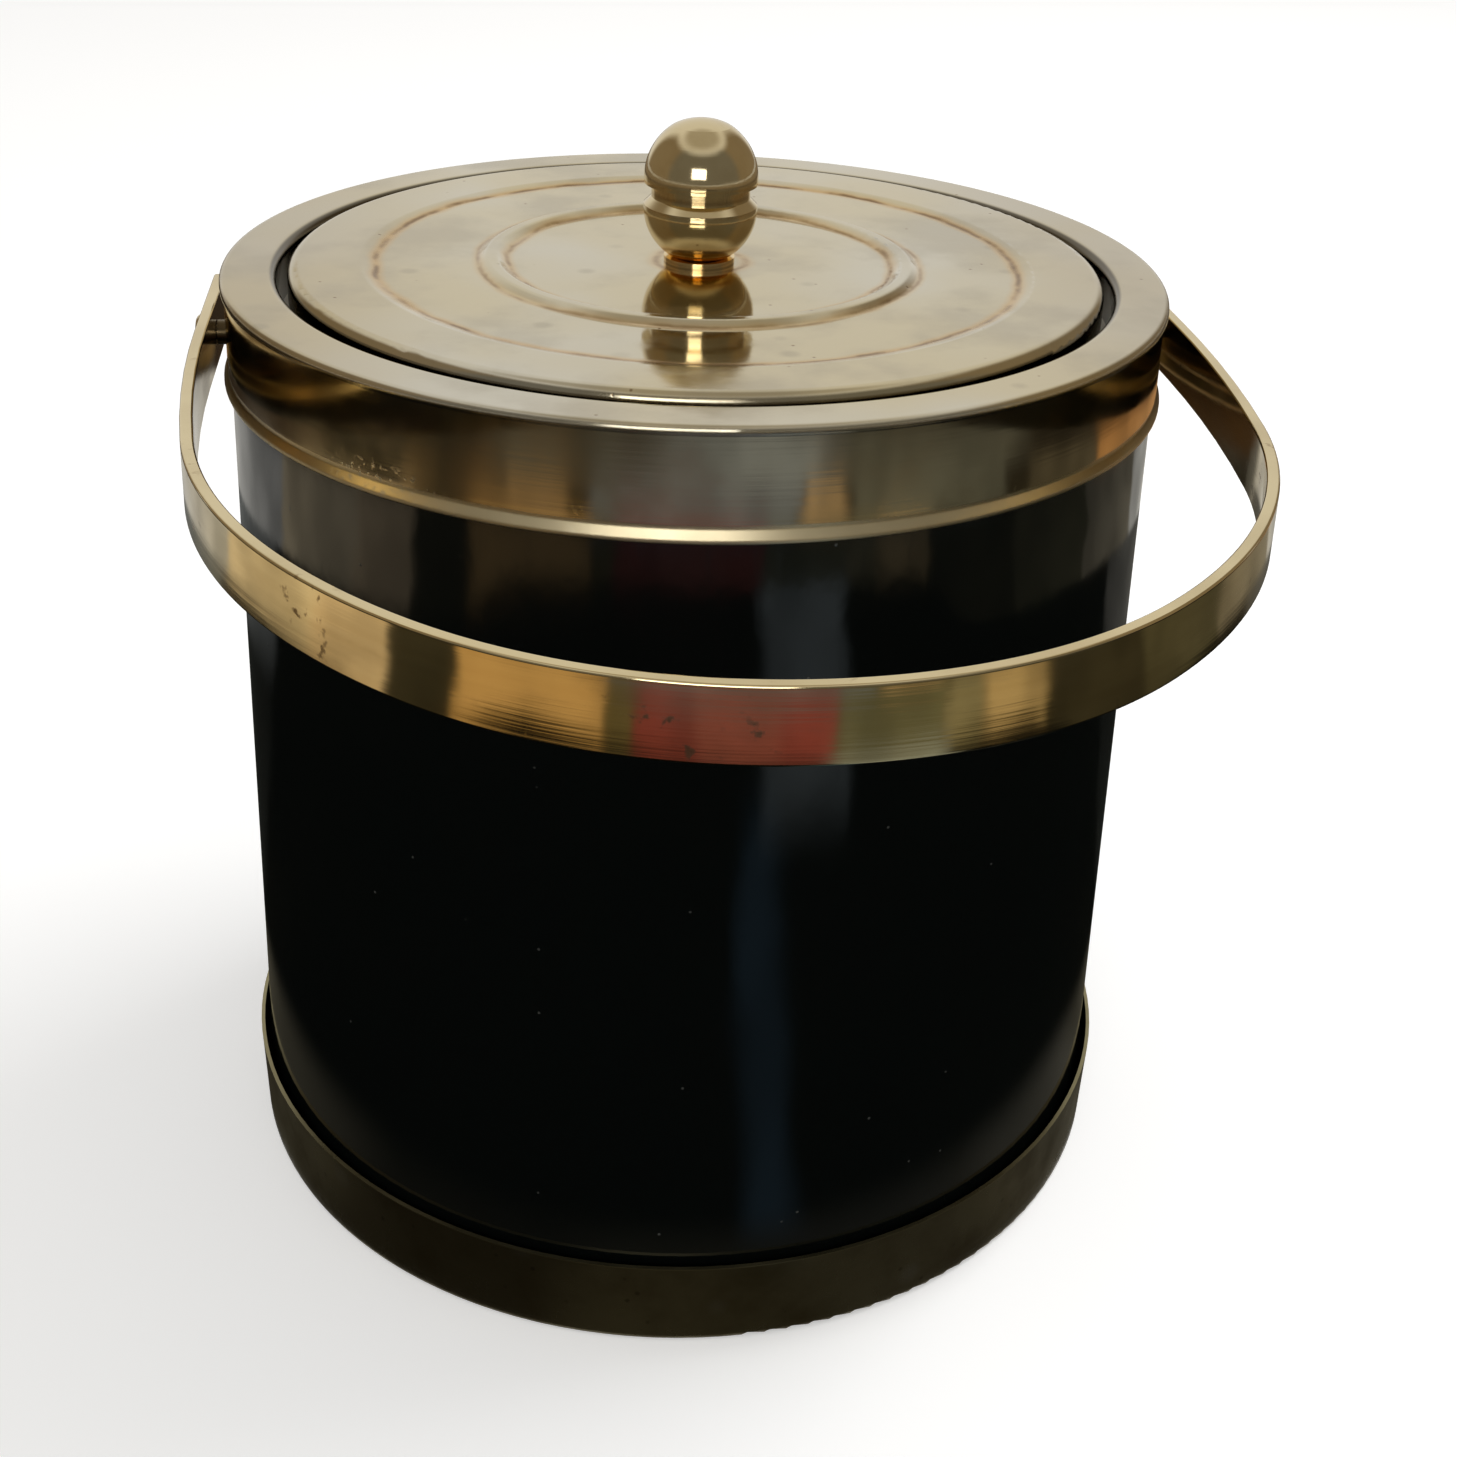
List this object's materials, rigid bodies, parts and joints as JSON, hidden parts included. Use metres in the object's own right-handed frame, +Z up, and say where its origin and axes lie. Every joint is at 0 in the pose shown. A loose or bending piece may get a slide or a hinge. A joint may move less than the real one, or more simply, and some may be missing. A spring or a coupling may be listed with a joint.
{
  "type": "ice bucket",
  "caption": "Round insulated ice bucket: black lacquered body, brass collar and base, lift-off lid with a ball knob, and a flat strap handle that swings over on side pivots.",
  "frame": {"origin": "centre of the base, on the surface that the bucket stands on", "axes": "+Z up along the bucket's axis; X through the handle's two pivots; the handle rests forward over -Y"},
  "size_m": [0.2118, 0.2746, 0.2335],
  "materials": {
    "gilt_plate": "polished",
    "band_brass": "polished",
    "strap_brass": "satin",
    "pan_brass": "satin",
    "knob_brass": "polished",
    "foot_brass": "polished",
    "black_lacquer": "gloss",
    "liner_plastic": "satin",
    "lid_plastic": "satin",
    "foam": "matte",
    "rivet_brass": "polished",
    "hidden_steel": "satin",
    "insert_brass": "satin"
  },
  "bodies": {
    "bucket": {"base_pan": "pan_brass", "outer_sleeve": "black_lacquer", "collar_band": "band_brass", "rim_ring": "gilt_plate", "liner": "liner_plastic", "insulation_disc": "foam", "insulation_jacket": "foam", "tie_insert": "insert_brass", "tie_washer": "hidden_steel", "tie_screw": "hidden_steel", "pivot_rivet_left": "rivet_brass", "pivot_rivet_right": "rivet_brass", "pivot_spacer_left": "rivet_brass", "pivot_spacer_right": "rivet_brass", "pivot_burr_left": "hidden_steel", "pivot_burr_right": "hidden_steel"},
    "handle": {"handle_strap": "strap_brass"},
    "lid": {"lid_cover": "gilt_plate", "lid_liner": "lid_plastic", "lid_insulation": "foam", "knob_foot": "foot_brass", "knob": "knob_brass", "knob_washer": "hidden_steel", "knob_screw": "hidden_steel"}
  },
  "joints": [
    {"name": "handle_swing", "type": "hinge", "parent": "bucket", "child": "handle", "pos_m": [0, 0, 0.1872], "axis": [-1, 0, 0], "range_deg": [-51.5, 232.9]},
    {"name": "lid_lift", "type": "slide", "parent": "bucket", "child": "lid", "axis": [0, 0, 1], "range_m": [0, 0.08]}
  ]
}
